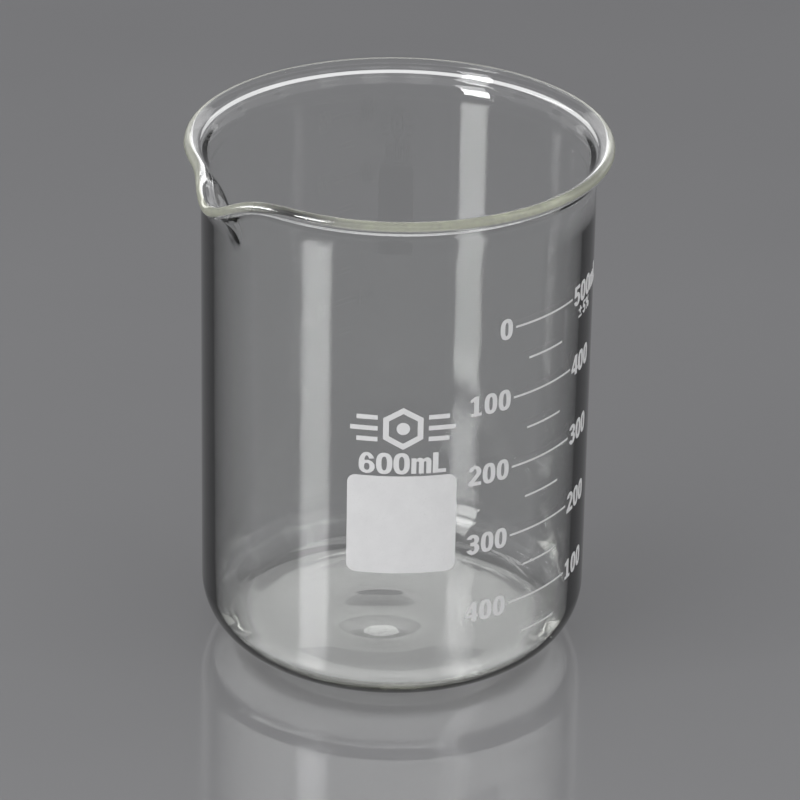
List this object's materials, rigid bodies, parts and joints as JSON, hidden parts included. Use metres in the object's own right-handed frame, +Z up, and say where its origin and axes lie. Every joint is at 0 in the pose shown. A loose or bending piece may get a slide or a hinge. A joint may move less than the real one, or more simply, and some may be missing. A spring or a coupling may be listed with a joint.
{
  "type": "laboratory beaker",
  "caption": "Low-form glass beaker with a flared, fire-polished rim, a pouring spout and a fired white enamel volume scale, label and writing patch.",
  "frame": {"origin": "centre of the base, on the plane that the beaker stands on", "axes": "+Z up along the vessel's axis, -Y towards the label; the spout points about 55 degrees clockwise from the label seen from above, and the scale about 46 degrees the other way"},
  "size_m": [0.0978, 0.0978, 0.125],
  "materials": {
    "borosilicate_glass": "clear, fire-polished, with a faint yellow-green edge tint",
    "fired_enamel": "light grey-white screen-printed enamel, fired onto the glass, soft satin gloss"
  },
  "bodies": {
    "root": {"glass_vessel": "borosilicate_glass", "marking_patch": "fired_enamel", "emblem": "fired_enamel", "capacity_numerals": "fired_enamel", "capacity_unit": "fired_enamel", "graduation_line_100": "fired_enamel", "graduation_line_200": "fired_enamel", "graduation_line_300": "fired_enamel", "graduation_line_400": "fired_enamel", "graduation_line_500": "fired_enamel", "half_line_50": "fired_enamel", "half_line_150": "fired_enamel", "half_line_250": "fired_enamel", "half_line_350": "fired_enamel", "half_line_450": "fired_enamel", "contents_numeral_100": "fired_enamel", "contents_numeral_200": "fired_enamel", "contents_numeral_300": "fired_enamel", "contents_numeral_400": "fired_enamel", "contents_numeral_500": "fired_enamel", "contents_unit": "fired_enamel", "tolerance_mark": "fired_enamel", "dispensed_numeral_0": "fired_enamel", "dispensed_numeral_100": "fired_enamel", "dispensed_numeral_200": "fired_enamel", "dispensed_numeral_300": "fired_enamel", "dispensed_numeral_400": "fired_enamel"}
  },
  "joints": []
}
